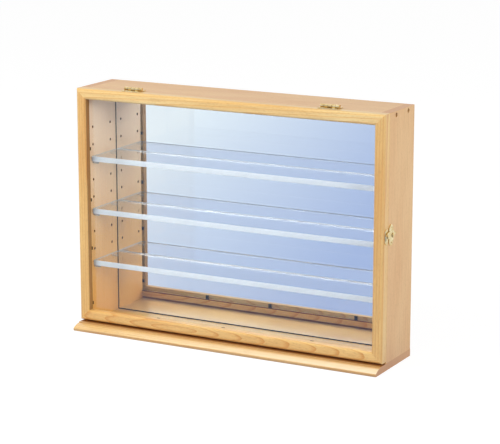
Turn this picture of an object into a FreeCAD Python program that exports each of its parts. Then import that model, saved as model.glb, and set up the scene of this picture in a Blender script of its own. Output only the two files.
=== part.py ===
"""Wooden display case with a mirror back, clear shelves and a lift-up glazed door.

Millimetres. +X is the case's right, +Y its back and +Z up.
The origin is the middle of the base's underside.
"""
import FreeCAD, Part
import math
import operator
import os
import types
import Sketcher

# Driving dimensions
SIZES = {
    # Carcass
    "case_width": 376.0,
    "case_height": 276.0,
    "carcass_depth": 63.6,
    "side_thickness": 10.0,
    "top_thickness": 8.0,
    "edge_easing": 0.8,
    # Base board and its moulded front edge
    "base_thickness": 8.0,
    "base_projection": 14.0,
    "step_setback": 2.5,
    "nose_height": 3.6,
    # Mirror and backing panel, slid into one groove
    "groove_depth": 4.0,
    "groove_inset": 3.0,
    "mirror_thickness": 3.0,
    "panel_thickness": 3.0,
    "panel_play": 0.2,
    "panel_side_play": 0.5,
    # Door frame, pane and glazing clips
    "door_thickness": 12.0,
    "door_gap": 0.4,
    "door_bottom_gap": 2.0,
    "member_width": 12.0,
    "outer_round": 3.6,
    "inner_round": 3.0,
    "rebate_width": 5.0,
    "pane_thickness": 2.0,
    "pane_play": 0.5,
    "clip_thickness": 1.2,
    "clip_recess": 0.3,
    "clip_length": 3.6,
    "clip_reach": 4.8,
    # Peg holes, pegs and shelves
    "peg_radius": 1.5,
    "peg_fit": 0.04,
    "peg_first_height": 62.5,
    "peg_pitch": 20.0,
    "peg_top_margin": 20.0,
    "peg_front_inset": 6.5,
    "peg_rear_inset": 11.4,
    "peg_hole_wall": 4.0,
    "peg_end_play": 0.4,
    "peg_reach": 7.0,
    "peg_tip": 0.5,
    "shelf_thickness": 6.0,
    "shelf_front_setback": 1.5,
    "shelf_rear_gap": 1.0,
    "shelf_side_gap": 0.8,
    "shelf_seat_gap": 0.03,
    # Hinges
    "hinge_length": 22.0,
    "hinge_inset": 68.0,
    "knuckle_radius": 2.0,
    "knuckle_gap": 0.3,
    "pin_radius": 1.0,
    "pin_fit": 0.05,
    "leaf_width": 5.2,
    "leaf_thickness": 1.0,
    "swing_clearance": 0.3,
    # Side catch
    "catch_height": 23.5,
    "catch_depth": 19.5,
    "catch_level": 146.5,
    "catch_setback": 0.6,
    "catch_thickness": 1.0,
    "hook_thickness": 1.2,
    "hook_play": 0.3,
    "hook_boss": 3.2,
    "hook_finger": 2.4,
    "hook_drop": 3.4,
    "pivot_setback": 7.0,
    "rivet_radius": 1.4,
    "rivet_head": 2.5,
    "rivet_head_height": 0.9,
    "stud_radius": 1.3,
    "stud_head": 2.2,
    "stud_back": 5.2,
    "keeper_width": 6.4,
    "keeper_height": 17.0,
    # Screws
    "screw_fit": 0.03,
    "screw_tip_play": 0.4,
    "carcass_screw_head": 2.4,
    "carcass_screw_shank": 1.4,
    "carcass_screw_length": 20.0,
    "carcass_screw_recess": 4.0,
    "carcass_screw_inset": 16.5,
    "base_screw_head": 2.8,
    "base_screw_shank": 1.5,
    "base_screw_length": 22.0,
    "base_screw_recess": 0.6,
    "base_screw_inset": 15.0,
    "hinge_screw_head": 1.7,
    "hinge_screw_shank": 0.9,
    "hinge_screw_length": 6.5,
    "hinge_screw_inset": 5.0,
    "catch_screw_head": 1.4,
    "catch_screw_shank": 0.75,
    "catch_screw_length": 4.6,
    # One overrun serves every cut
    "overrun": 1.0,
}

# Counts and proportions
KNUCKLES = 5
SHELVES = ("shelf_lower", "shelf_middle", "shelf_upper")
HOLES_PER_SHELF = 3
EDGE_STEP_SHARE = 0.25
EDGE_SLOPE_SHARE = 1.6
NOSE_EASE_SHARE = 0.3
NOSE_ROUND_SHARE = 0.9
FOOT_ROUND_SHARE = 0.2
RAIL_CLIP_SHARES = (0.26, 0.48, 0.77)
STILE_CLIP_SHARES = (0.07, 0.31, 0.52, 0.74)
CATCH_SCREW_SHARES = ((0.3, 0.34), (0.3, -0.34))
CATCH_OUTLINE_SHARES = (
    (0.0, -0.34), (0.0, 0.34), (0.3, 0.5), (0.55, 0.2),
    (1.0, 0.0), (0.55, -0.2), (0.3, -0.5),
)
CATCH_ARC_SHARES = {1: -0.45, 2: -0.4, 3: 0.6, 4: 0.6, 5: -0.4, 6: -0.45}
HOOK_TOP_SHARE = 4.4
KEEPER_SCREW_SHARE = 0.35
HEAD_TAPER_SHARE = 0.6


class Length:
    """A number together with the sheet formula that gives it."""

    def __init__(self, value, formula):
        self.value = value
        self.formula = formula

    def __add__(self, other):
        return joined(self, other, "+", operator.add)

    def __sub__(self, other):
        return joined(self, other, "-", operator.sub)

    def __mul__(self, other):
        return joined(self, other, "*", operator.mul)

    def __truediv__(self, other):
        return joined(self, other, "/", operator.truediv)

    def __neg__(self):
        return ZERO - self

    __rmul__ = __mul__


def as_length(number):
    """A plain number as a Length that nothing drives."""
    return number if isinstance(number, Length) else Length(number, f"({number})")


def joined(left, right, sign, operation):
    """Two lengths put together by one sign, in value and in formula."""
    right = as_length(right)
    value = operation(left.value, right.value)
    return Length(value, f"({left.formula} {sign} {right.formula})")


ZERO = Length(0.0, "0")

doc = FreeCAD.newDocument("DisplayCase")
sheet = doc.addObject("Spreadsheet::Sheet", "Sizes")
for row, (alias, number) in enumerate(SIZES.items(), start=1):
    sheet.set(f"A{row}", alias)
    sheet.set(f"B{row}", str(number))
    sheet.setAlias(f"B{row}", alias)
doc.recompute()
lengths = {alias: Length(number, f"Sizes.{alias}") for alias, number in SIZES.items()}
size = types.SimpleNamespace(**lengths)

nodes = []

# Places that several pieces share
half_width = size.case_width / 2
base_depth = size.carcass_depth + size.door_gap + size.door_thickness + size.base_projection
rear = base_depth / 2
carcass_front = rear - size.carcass_depth
door_back = carcass_front - size.door_gap
door_front = door_back - size.door_thickness
inner_half = half_width - size.side_thickness
inner_width = inner_half * 2
ceiling = size.case_height - size.top_thickness
door_bottom = size.base_thickness + size.door_bottom_gap
door_height = size.case_height - door_bottom
groove_width = size.mirror_thickness + size.panel_thickness + size.panel_play
groove_front = rear - size.groove_inset - groove_width
rebate_depth = size.pane_thickness + size.clip_thickness + size.clip_recess
sight_inset = size.member_width - size.rebate_width
pane_front = door_back - rebate_depth
axis_lift = size.knuckle_radius + size.swing_clearance
hinge_y = carcass_front - size.door_gap / 2
hinge_z = size.case_height + axis_lift
hook_x = half_width + size.catch_thickness + size.hook_play
head_x = hook_x + size.hook_thickness + size.hook_play
pivot_y = carcass_front + size.pivot_setback
stud_y = door_back - size.stud_back


def bind(item, name, length):
    """Drive one property of an object by a length's formula."""
    item.setExpression(name, as_length(length).formula)


def place(item, x, y, z, rotation=None):
    """Set an object's rotation and drive its position."""
    item.Placement = FreeCAD.Placement(FreeCAD.Vector(), rotation or FreeCAD.Rotation())
    for axis, length in zip("xyz", (x, y, z)):
        bind(item, f"Placement.Base.{axis}", length)


def node(item, name):
    """Name an object as a finished sub-part."""
    item.Label = name
    nodes.append(item)
    return item


def box(name, corner, extent):
    """A block from its lowest corner and its three sizes."""
    item = doc.addObject("Part::Box", name)
    for side, length in zip(("Length", "Width", "Height"), extent):
        bind(item, side, length)
    place(item, *corner)
    return item


def turning(direction):
    """The rotation that turns +Z to a direction."""
    return FreeCAD.Rotation(FreeCAD.Vector(0, 0, 1), FreeCAD.Vector(*direction))


def rod(name, start, direction, radius, length):
    """A cylinder from the middle of its first end."""
    item = doc.addObject("Part::Cylinder", name)
    bind(item, "Radius", radius)
    bind(item, "Height", length)
    place(item, *start, turning(direction))
    return item


def taper(name, start, direction, first_radius, last_radius, length):
    """A cone from the middle of its first end."""
    item = doc.addObject("Part::Cone", name)
    bind(item, "Radius1", first_radius)
    bind(item, "Radius2", last_radius)
    bind(item, "Height", length)
    place(item, *start, turning(direction))
    return item


def fuse(name, items):
    """Several solids joined into one."""
    item = doc.addObject("Part::MultiFuse", name)
    item.Shapes = items
    return item


def group(name, items):
    """Several separate solids kept in one object."""
    item = doc.addObject("Part::Compound", name)
    item.Links = items
    return item


def cut(name, base, tools):
    """A solid with other solids taken out of it."""
    item = doc.addObject("Part::Cut", name)
    item.Base = base
    item.Tool = tools[0] if len(tools) == 1 else group(f"{name}_cuts", tools)
    return item


def ahead(start, direction, length):
    """A place moved along an axis direction by a length."""
    return tuple(as_length(at) + length * step for at, step in zip(start, direction))


def new_body(name, x, y, z):
    """An empty body at a driven place."""
    body = doc.addObject("PartDesign::Body", name)
    place(body, x, y, z)
    return body


def new_sketch(body, role, offset=ZERO):
    """A sketch on one of the body's own origin planes, moved along that plane's normal."""
    sketch = body.newObject("Sketcher::SketchObject", f"{body.Name}_sketch")
    plane = next(feature for feature in body.Origin.OriginFeatures if feature.Role == role)
    sketch.AttachmentSupport = [(plane, "")]
    sketch.MapMode = "FlatFace"
    bind(sketch, "AttachmentOffset.Base.z", offset)
    return sketch


def arc_through(start, stop, radius):
    """An arc between two points, always anticlockwise, bulging right of the chord if radius is positive."""
    chord = stop - start
    half = chord.Length / 2
    sagitta = abs(radius) - math.sqrt(max(radius * radius - half * half, 0))
    right = FreeCAD.Vector(chord.y, -chord.x, 0).normalize()
    middle = (start + stop) / 2 + right * math.copysign(sagitta, radius)
    return Part.Arc(start, middle, stop) if radius > 0 else Part.Arc(stop, middle, start)


def constrain(sketch, rules):
    """Add (constraint, length) pairs and drive each one that has a length."""
    places = sketch.addConstraint([rule for rule, length in rules])
    for at, (rule, length) in zip(places, rules):
        if length is not None:
            bind(sketch, f"Constraints[{at}]", length)


def outline(sketch, corners, arcs=None):
    """Draw a closed outline. arcs gives the radius from a corner to the next, positive on a left turn."""
    arcs = arcs or {}
    corners = [(as_length(x), as_length(y)) for x, y in corners]
    points = [FreeCAD.Vector(x.value, y.value, 0) for x, y in corners]
    edges = []
    for i, start in enumerate(points):
        stop = points[(i + 1) % len(points)]
        radius = arcs[i].value if i in arcs else 0
        edge = arc_through(start, stop, radius) if radius else Part.LineSegment(start, stop)
        first, last = (2, 1) if radius < 0 else (1, 2)
        edges.append((sketch.addGeometry(edge), first, last))
    rules = []
    for i, (edge, first, last) in enumerate(edges):
        before, ignored, before_last = edges[i - 1]
        x, y = corners[i]
        rules.append((Sketcher.Constraint("Coincident", before, before_last, edge, first), None))
        rules.append((Sketcher.Constraint("DistanceX", -1, 1, edge, first, x.value), x))
        rules.append((Sketcher.Constraint("DistanceY", -1, 1, edge, first, y.value), y))
        if i in arcs:
            radius = arcs[i] if arcs[i].value > 0 else -arcs[i]
            rules.append((Sketcher.Constraint("Radius", edge, radius.value), radius))
    constrain(sketch, rules)


def rectangle(sketch, low_x, low_y, high_x, high_y):
    """Draw a rectangle between two corners."""
    outline(sketch, [(low_x, low_y), (high_x, low_y), (high_x, high_y), (low_x, high_y)])


def circle(sketch, x, y, radius):
    """Draw a circle."""
    x, y = as_length(x), as_length(y)
    shape = Part.Circle(FreeCAD.Vector(x.value, y.value, 0), FreeCAD.Vector(0, 0, 1), radius.value)
    edge = sketch.addGeometry(shape)
    rules = [
        (Sketcher.Constraint("DistanceX", -1, 1, edge, 3, x.value), x),
        (Sketcher.Constraint("DistanceY", -1, 1, edge, 3, y.value), y),
        (Sketcher.Constraint("Radius", edge, radius.value), radius),
    ]
    constrain(sketch, rules)


def pad(sketch, length):
    """Add a sketch's outline along its normal."""
    body = sketch.getParentGeoFeatureGroup()
    feature = body.newObject("PartDesign::Pad", f"{body.Name}_pad")
    feature.Profile = sketch
    bind(feature, "Length", length)
    return feature


def pocket(sketch, length, forward=False):
    """Cut a sketch's outline against its normal, or along it if forward."""
    body = sketch.getParentGeoFeatureGroup()
    feature = body.newObject("PartDesign::Pocket", f"{body.Name}_pocket")
    feature.Profile = sketch
    feature.Reversed = forward
    bind(feature, "Length", length)
    return feature


def screw(name, start, direction, head, shank, length, play=ZERO, mouth=ZERO):
    """A countersunk screw from the middle of its head. play widens it into its own bore, open at mouth."""
    head_height = head - shank
    wide, narrow = head + play, shank + play
    deep = length + size.screw_tip_play if play is not ZERO else length
    pieces = [
        taper(f"{name}_head", start, direction, wide, narrow, head_height),
        rod(f"{name}_shank", start, direction, narrow, deep),
    ]
    if mouth is not ZERO:
        pieces.append(rod(f"{name}_mouth", ahead(start, direction, -mouth), direction, wide, mouth))
    return fuse(name, pieces)


def screw_set(name, places, direction_of, head, shank, length, mouth):
    """A node of like screws, and the bores that let them into the wood."""
    screws = []
    bores = []
    for number, start in enumerate(places, start=1):
        direction = direction_of(start)
        screws.append(screw(f"{name}_{number}", start, direction, head, shank, length))
        bore = screw(f"{name}_{number}_bore", start, direction, head, shank, length, size.screw_fit, mouth)
        bores.append(bore)
    node(group(name, screws), name)
    return bores


def towards_middle(start):
    """The direction along X from a place to the case's middle."""
    return (-1, 0, 0) if start[0].value > 0 else (1, 0, 0)


# Fixings first, because their bores are cut out of the boards

screw_level = size.case_height - size.top_thickness / 2
carcass_screw_x = half_width - size.carcass_screw_recess
carcass_screw_y = (carcass_front + size.carcass_screw_inset, rear - size.carcass_screw_inset)
carcass_bores = screw_set(
    "carcass_screws",
    [(carcass_screw_x * hand, y, screw_level) for hand in (-1, 1) for y in carcass_screw_y],
    towards_middle,
    size.carcass_screw_head, size.carcass_screw_shank, size.carcass_screw_length,
    size.carcass_screw_recess + size.overrun,
)

base_screw_x = half_width - size.side_thickness / 2
base_screw_y = (carcass_front + size.base_screw_inset, rear - size.base_screw_inset)
base_bores = screw_set(
    "base_screws",
    [(base_screw_x * hand, y, size.base_screw_recess) for hand in (-1, 1) for y in base_screw_y],
    lambda start: (0, 0, 1),
    size.base_screw_head, size.base_screw_shank, size.base_screw_length,
    size.base_screw_recess + size.overrun,
)

hinge_centre = half_width - size.hinge_inset
hinge_screw_reach = size.hinge_length / 2 - size.hinge_screw_inset
hinge_screw_offset = axis_lift + size.leaf_width / 2
hinge_screw_z = size.case_height + size.leaf_thickness
hinge_screw_x = [hinge_centre * hand + hinge_screw_reach * end for hand in (-1, 1) for end in (-1, 1)]


def hinge_screws(name, side):
    """The screws of the two leaves on one side of the hinge line."""
    y = hinge_y + hinge_screw_offset * side
    return screw_set(
        name,
        [(x, y, hinge_screw_z) for x in hinge_screw_x],
        lambda start: (0, 0, -1),
        size.hinge_screw_head, size.hinge_screw_shank, size.hinge_screw_length,
        size.overrun,
    )


hinge_case_bores = hinge_screws("hinge_case_screws", 1)
hinge_door_bores = hinge_screws("hinge_door_screws", -1)

plate_x = half_width + size.catch_thickness
plate_y = carcass_front + size.catch_setback
catch_bores = screw_set(
    "catch_plate_screws",
    [
        (plate_x, plate_y + size.catch_depth * across, size.catch_level + size.catch_height * up)
        for across, up in CATCH_SCREW_SHARES
    ],
    towards_middle,
    size.catch_screw_head, size.catch_screw_shank, size.catch_screw_length,
    size.overrun,
)
keeper_bores = screw_set(
    "keeper_screws",
    [
        (plate_x, stud_y, size.catch_level + size.keeper_height * KEEPER_SCREW_SHARE * up)
        for up in (1, -1)
    ],
    towards_middle,
    size.catch_screw_head, size.catch_screw_shank, size.catch_screw_length,
    size.overrun,
)


def base_board():
    """The base: a board whose front edge steps down, slopes in a slow curve and ends in a low nose."""
    body = new_body("base_board_blank", -half_width, ZERO, ZERO)
    sketch = new_sketch(body, "YZ_Plane")
    nose = -rear
    step = (size.base_thickness - size.nose_height) * EDGE_STEP_SHARE
    step_y = door_front - size.step_setback
    ease = size.nose_height * NOSE_EASE_SHARE
    foot = size.nose_height * FOOT_ROUND_SHARE
    corners = [
        (nose + foot, ZERO),
        (rear, ZERO),
        (rear, size.base_thickness),
        (step_y, size.base_thickness),
        (step_y, size.base_thickness - step),
        (nose + ease, size.nose_height),
        (nose, size.nose_height - ease),
        (nose, foot),
    ]
    slope_round = size.base_projection * EDGE_SLOPE_SHARE
    nose_round = size.nose_height * NOSE_ROUND_SHARE
    outline(sketch, corners, {4: slope_round, 5: nose_round, 7: foot})
    pad(sketch, size.case_width)
    return node(cut("base_board", body, base_bores), "base_board")


def side_board(name, hand, bores):
    """A side: eased outer edges, a stopped groove for the back and two columns of peg holes."""
    body = new_body(f"{name}_blank", half_width * hand, carcass_front, size.base_thickness)
    inner = size.side_thickness * -hand
    easing = size.edge_easing
    eased = easing * -hand
    sketch = new_sketch(body, "XY_Plane")
    depth = size.carcass_depth
    corners = [
        (ZERO, easing),
        (ZERO, depth - easing),
        (eased, depth),
        (inner, depth),
        (inner, ZERO),
        (eased, ZERO),
    ]
    outline(sketch, corners, {1: easing * hand, 5: easing * hand})
    pad(sketch, size.case_height - size.base_thickness)

    groove = new_sketch(body, "XY_Plane")
    groove_y = groove_front - carcass_front
    groove_floor = (size.side_thickness - size.groove_depth) * -hand
    rectangle(groove, groove_floor, groove_y, inner - size.overrun * hand, groove_y + groove_width)
    pocket(groove, ceiling + size.groove_depth - size.base_thickness, forward=True)

    holes = new_sketch(body, "YZ_Plane", inner)
    for y in (size.peg_front_inset, groove_y - size.peg_rear_inset):
        circle(holes, y, size.peg_first_height, size.peg_radius + size.peg_fit)
    drilled = pocket(holes, size.side_thickness - size.peg_hole_wall, forward=hand > 0)
    doc.recompute()

    column = body.newObject("PartDesign::LinearPattern", f"{name}_column")
    column.Originals = [drilled]
    column.Direction = (holes, ["V_Axis"])
    room = ceiling - size.base_thickness - size.peg_first_height - size.peg_top_margin
    steps = f"max({HOLES_PER_SHELF * (len(SHELVES) - 1)}; floor({(room / size.peg_pitch).formula}))"
    column.setExpression("Length", f"{size.peg_pitch.formula} * {steps}")
    column.setExpression("Occurrences", f"{steps} + 1")
    body.Tip = column
    return node(cut(name, body, bores), name)


def top_board():
    """The top: a board between the sides with the back's groove along its underside."""
    blank = box(
        "top_board_blank",
        (-inner_half, carcass_front, ceiling),
        (inner_width, size.carcass_depth, size.top_thickness),
    )
    groove = box(
        "top_board_groove",
        (-inner_half - size.overrun, groove_front, ceiling - size.overrun),
        (inner_width + size.overrun * 2, groove_width, size.groove_depth + size.overrun),
    )
    return node(cut("top_board", blank, [groove] + carcass_bores + hinge_case_bores), "top_board")


def back_sheet(name, y, thickness):
    """The mirror or its backing panel, standing on the base in the groove."""
    reach = inner_half + size.groove_depth - size.panel_side_play
    tall = ceiling + size.groove_depth - size.panel_side_play - size.base_thickness
    return node(box(name, (-reach, y, size.base_thickness), (reach * 2, thickness, tall)), name)


def member_profile(across):
    """A door member's section as (across the member, back from the door's front) corners and arcs."""
    lip = size.door_thickness - rebate_depth
    corners = [
        (ZERO, size.outer_round),
        (ZERO, size.door_thickness),
        (sight_inset, size.door_thickness),
        (sight_inset, lip),
        (size.member_width, lip),
        (size.member_width, size.inner_round),
        (size.member_width - size.inner_round, ZERO),
        (size.outer_round, ZERO),
    ]
    return [(w * across, d) for w, d in corners]


def member_arcs(turn):
    """The rounded edges of the section, on the side that the outline turns."""
    return {5: size.inner_round * turn, 7: size.outer_round * turn}


def mitre(body, corners_of_ends):
    """Cut a member's ends to the mitre lines."""
    sketch = new_sketch(body, "XZ_Plane", size.overrun)
    for corners in corners_of_ends:
        outline(sketch, corners)
    pocket(sketch, size.door_thickness + size.overrun * 2)


def door_rail(name, level, up, bores):
    """A level door member, mitred at both ends. up is the way from its outer edge to the pane."""
    body = new_body(f"{name}_blank", -half_width, door_front, level)
    sketch = new_sketch(body, "YZ_Plane")
    outline(sketch, [(d, w) for w, d in member_profile(up)], member_arcs(up))
    pad(sketch, size.case_width)
    past = size.overrun
    deep = size.member_width + past
    end = size.case_width
    left = [(-past, -past * up), (-past, deep * up), (deep, deep * up)]
    right = [(end + past, -past * up), (end + past, deep * up), (end - deep, deep * up)]
    mitre(body, (left, right))
    return finish_member(body, name, bores)


def door_stile(name, hand, bores):
    """An upright door member, mitred at both ends."""
    body = new_body(f"{name}_blank", half_width * hand, door_front, door_bottom)
    sketch = new_sketch(body, "XY_Plane")
    outline(sketch, member_profile(-hand), member_arcs(hand))
    pad(sketch, door_height)
    past = size.overrun
    deep = size.member_width + past
    outer, inner = past * hand, deep * -hand
    low = [(outer, -past), (inner, -past), (inner, deep)]
    high = [(outer, door_height + past), (inner, door_height + past), (inner, door_height - deep)]
    mitre(body, (low, high))
    return finish_member(body, name, bores)


def finish_member(body, name, bores):
    """Let screws into a member where it has any, and name it."""
    return node(cut(name, body, bores), name) if bores else node(body, name)


def door_pane():
    """The pane, against the lips of the four members."""
    inset = sight_inset + size.pane_play
    corner = (-half_width + inset, pane_front, door_bottom + inset)
    extent = (size.case_width - inset * 2, size.pane_thickness, door_height - inset * 2)
    return node(box("door_pane", corner, extent), "door_pane")


def glazing_clips():
    """Flat clips in the rebate that hold the pane, along each member."""
    y = pane_front + size.pane_thickness
    thick = size.clip_thickness
    long, reach = size.clip_length, size.clip_reach
    levels = (door_bottom + sight_inset, size.case_height - sight_inset - reach)
    sides = (-half_width + sight_inset, half_width - sight_inset - reach)
    clips = []
    for share in RAIL_CLIP_SHARES:
        x = size.case_width * share - half_width - long / 2
        clips += [box("clip", (x, y, level), (long, thick, reach)) for level in levels]
    for share in STILE_CLIP_SHARES:
        z = door_bottom + door_height * share - long / 2
        clips += [box("clip", (side, y, z), (reach, thick, long)) for side in sides]
    return node(group("glazing_clips", clips), "glazing_clips")


def hinge_leaf(name, centre, side, bores):
    """A hinge leaf: a flat plate with its share of the knuckles, on one side of the pin."""
    body = new_body(f"{name}_blank", centre, hinge_y, hinge_z)
    half = size.hinge_length / 2
    plate = new_sketch(body, "YZ_Plane", -half)
    reach = (axis_lift + size.leaf_width) * side
    rectangle(plate, ZERO, -axis_lift, reach, size.leaf_thickness - axis_lift)
    pad(plate, size.hinge_length)
    barrel = new_sketch(body, "YZ_Plane", -half)
    circle(barrel, ZERO, ZERO, size.knuckle_radius)
    pad(barrel, size.hinge_length)

    bore = new_sketch(body, "YZ_Plane", half + size.overrun)
    circle(bore, ZERO, ZERO, size.pin_radius + size.pin_fit)
    pocket(bore, size.hinge_length + size.overrun * 2)

    gaps = new_sketch(body, "XY_Plane", size.knuckle_radius + size.overrun)
    knuckle = size.hinge_length / KNUCKLES
    slack = size.knuckle_gap / 2
    for number in range(1 if side > 0 else 0, KNUCKLES, 2):
        low = knuckle * number - half - slack
        high = knuckle * (number + 1) - half + slack
        rectangle(gaps, low, (size.knuckle_radius + size.overrun) * -side, high, axis_lift * side)
    pocket(gaps, size.knuckle_radius + axis_lift + size.overrun * 2)
    return node(cut(name, body, bores), name)


def hinge(name, hand):
    """A butt hinge: a leaf on the top board, a leaf on the door and the pin that joins them."""
    centre = hinge_centre * hand
    first = 0 if hand < 0 else 2
    hinge_leaf(f"{name}_case_leaf", centre, 1, hinge_case_bores[first:first + 2])
    hinge_leaf(f"{name}_door_leaf", centre, -1, hinge_door_bores[first:first + 2])
    start = (centre - size.hinge_length / 2, hinge_y, hinge_z)
    node(rod(f"{name}_pin", start, (1, 0, 0), size.pin_radius, size.hinge_length), f"{name}_pin")


def headed_pin(name, start, shank, head, length):
    """A pin out of the side of the case with a tapered button head on its end."""
    outward = (1, 0, 0)
    tip = ahead(start, outward, length)
    pieces = [
        rod(f"{name}_shank", start, outward, shank, length),
        taper(f"{name}_head", tip, outward, head, head * HEAD_TAPER_SHARE, size.rivet_head_height),
    ]
    return node(fuse(name, pieces), name)


def catch():
    """The side catch: a shaped plate and swinging hook on the case, a keeper and stud on the door."""
    plate = new_body("catch_plate_blank", half_width, plate_y, size.catch_level)
    sketch = new_sketch(plate, "YZ_Plane")
    corners = [(size.catch_depth * y, size.catch_height * z) for y, z in CATCH_OUTLINE_SHARES]
    outline(sketch, corners, {at: size.catch_height * share for at, share in CATCH_ARC_SHARES.items()})
    pad(sketch, size.catch_thickness)
    hole = new_sketch(plate, "YZ_Plane", size.catch_thickness + size.overrun)
    circle(hole, pivot_y - plate_y, ZERO, size.rivet_radius + size.screw_fit)
    pocket(hole, size.catch_thickness + size.overrun * 2)
    node(cut("catch_plate", plate, catch_bores), "catch_plate")

    hook = new_body("catch_hook", hook_x, pivot_y, size.catch_level)
    sketch = new_sketch(hook, "YZ_Plane")
    boss = size.hook_boss
    notch = size.stud_radius + size.hook_play
    stud = stud_y - pivot_y
    near, far = stud + notch, stud - notch
    tip = far - size.hook_finger
    corners = [
        (ZERO, -boss),
        (boss, ZERO),
        (ZERO, boss),
        (tip, notch),
        (tip, -size.hook_drop),
        (far, -size.hook_drop),
        (far, ZERO),
        (stud, notch),
        (near, ZERO),
        (near, -notch / 2),
    ]
    outline(sketch, corners, {0: boss, 1: boss, 2: boss * HOOK_TOP_SHARE, 6: -notch, 7: -notch})
    pad(sketch, size.hook_thickness)
    eye = new_sketch(hook, "YZ_Plane", size.hook_thickness + size.overrun)
    circle(eye, ZERO, ZERO, size.rivet_radius + size.pin_fit)
    pocket(eye, size.hook_thickness + size.overrun * 2)
    node(hook, "catch_hook")
    start = (half_width, pivot_y, size.catch_level)
    headed_pin("catch_rivet", start, size.rivet_radius, size.rivet_head, head_x - half_width)

    keeper = new_body("catch_keeper_blank", half_width, stud_y, size.catch_level)
    sketch = new_sketch(keeper, "YZ_Plane")
    across = size.keeper_width / 2
    tall = size.keeper_height / 2
    side = tall - across
    corners = [
        (across, -side),
        (across, side),
        (ZERO, tall),
        (-across, side),
        (-across, -side),
        (ZERO, -tall),
    ]
    outline(sketch, corners, {1: across, 2: across, 4: across, 5: across})
    pad(sketch, size.catch_thickness)
    hole = new_sketch(keeper, "YZ_Plane", size.catch_thickness + size.overrun)
    circle(hole, ZERO, ZERO, size.stud_radius + size.screw_fit)
    pocket(hole, size.catch_thickness + size.overrun * 2)
    node(cut("catch_keeper", keeper, keeper_bores), "catch_keeper")
    start = (half_width, stud_y, size.catch_level)
    headed_pin("catch_stud", start, size.stud_radius, size.stud_head, head_x - half_width)


def shelves_and_pegs():
    """Three clear shelves, each on four pegs."""
    front = carcass_front + size.shelf_front_setback
    deep = groove_front - size.shelf_rear_gap - front
    reach = inner_half - size.shelf_side_gap
    hole_depth = size.side_thickness - size.peg_hole_wall
    root = hole_depth - size.peg_end_play
    peg_y = (carcass_front + size.peg_front_inset, groove_front - size.peg_rear_inset)
    pegs = []
    for number, name in enumerate(SHELVES):
        level = size.base_thickness + size.peg_first_height + size.peg_pitch * (HOLES_PER_SHELF * number)
        seat = level + size.peg_radius + size.shelf_seat_gap
        node(box(name, (-reach, front, seat), (reach * 2, deep, size.shelf_thickness)), name)
        for hand in (-1, 1):
            for y in peg_y:
                start = ((inner_half + root) * hand, y, level)
                inward = (-hand, 0, 0)
                length = root + size.peg_reach - size.peg_tip
                tip = ahead(start, inward, length)
                tip_radius = size.peg_radius - size.peg_tip
                shank = rod("peg_shank", start, inward, size.peg_radius, length)
                end = taper("peg_tip", tip, inward, size.peg_radius, tip_radius, size.peg_tip)
                pegs.append(fuse("peg", [shank, end]))
    return node(group("shelf_pegs", pegs), "shelf_pegs")


base_board()
left_bores = carcass_bores[:2] + base_bores[:2]
right_bores = carcass_bores[2:] + base_bores[2:] + catch_bores
side_board("left_side", -1, left_bores)
side_board("right_side", 1, right_bores)
top_board()
back_sheet("mirror", groove_front, size.mirror_thickness)
back_sheet("back_panel", groove_front + size.mirror_thickness, size.panel_thickness)
door_rail("door_top_rail", size.case_height, -1, hinge_door_bores)
door_rail("door_bottom_rail", door_bottom, 1, [])
door_stile("door_left_stile", -1, [])
door_stile("door_right_stile", 1, keeper_bores)
door_pane()
glazing_clips()
hinge("left_hinge", -1)
hinge("right_hinge", 1)
catch()
shelves_and_pegs()

doc.recompute()
for item in doc.Objects:
    if "Invalid" in item.State or "Error" in item.State:
        raise RuntimeError(f"{item.Label} failed: {item.State}")
for item in nodes:
    if item.Shape.isNull() or not item.Shape.isValid() or not item.Shape.Solids:
        raise RuntimeError(f"{item.Label} has no valid solid")

os.makedirs("parts", exist_ok=True)
for item in nodes:
    item.Shape.exportStep(f"parts/{item.Label}.step")
    print(item.Label, len(item.Shape.Solids), round(item.Shape.Volume, 2))
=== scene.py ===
"""Looks of a beech display case: its finishes, clear shelves, turned brass and screws, and its studio."""
import math

import bpy
import numpy as np
from bpy.props import FloatProperty, FloatVectorProperty, PointerProperty
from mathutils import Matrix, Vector


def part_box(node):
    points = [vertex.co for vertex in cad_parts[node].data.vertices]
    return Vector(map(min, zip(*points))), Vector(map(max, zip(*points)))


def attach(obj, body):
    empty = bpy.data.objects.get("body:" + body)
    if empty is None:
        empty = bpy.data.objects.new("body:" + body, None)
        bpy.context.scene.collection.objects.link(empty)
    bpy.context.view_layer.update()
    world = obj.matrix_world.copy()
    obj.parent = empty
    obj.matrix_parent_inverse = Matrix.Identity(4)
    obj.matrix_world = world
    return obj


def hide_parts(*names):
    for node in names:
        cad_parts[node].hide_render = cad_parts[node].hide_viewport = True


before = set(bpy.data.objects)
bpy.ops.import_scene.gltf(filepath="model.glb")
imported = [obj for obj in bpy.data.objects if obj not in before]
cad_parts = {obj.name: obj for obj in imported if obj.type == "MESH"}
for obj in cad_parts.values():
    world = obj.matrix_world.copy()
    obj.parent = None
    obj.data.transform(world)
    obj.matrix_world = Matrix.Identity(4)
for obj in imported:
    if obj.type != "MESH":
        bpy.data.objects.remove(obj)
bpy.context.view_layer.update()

bl_info = {
    "name": "Beech display case",
    "version": (1, 0, 0),
    "blender": (4, 5, 0),
    "location": "3D View > Sidebar > Display case",
    "description": "Finishes and fine pieces of a beech display case with a lift-up glazed door",
    "category": "Object",
}

MM = 0.001
PER_METRE = 1000.0
X, Y, Z = range(3)
SHARP_ANGLE = math.radians(35)
GLASS_IOR = 1.52
ACRYLIC_IOR = 1.49


def linear(code):
    """An sRGB hex colour as linear red, green and blue."""
    shares = [int(code[i:i + 2], 16) / 255 for i in (0, 2, 4)]
    return tuple(s / 12.92 if s <= 0.04045 else ((s + 0.055) / 1.055) ** 2.4 for s in shares)


def opaque(tone):
    """A linear colour with full alpha, for a colour socket."""
    return (*tone[:3], 1.0)


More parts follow.
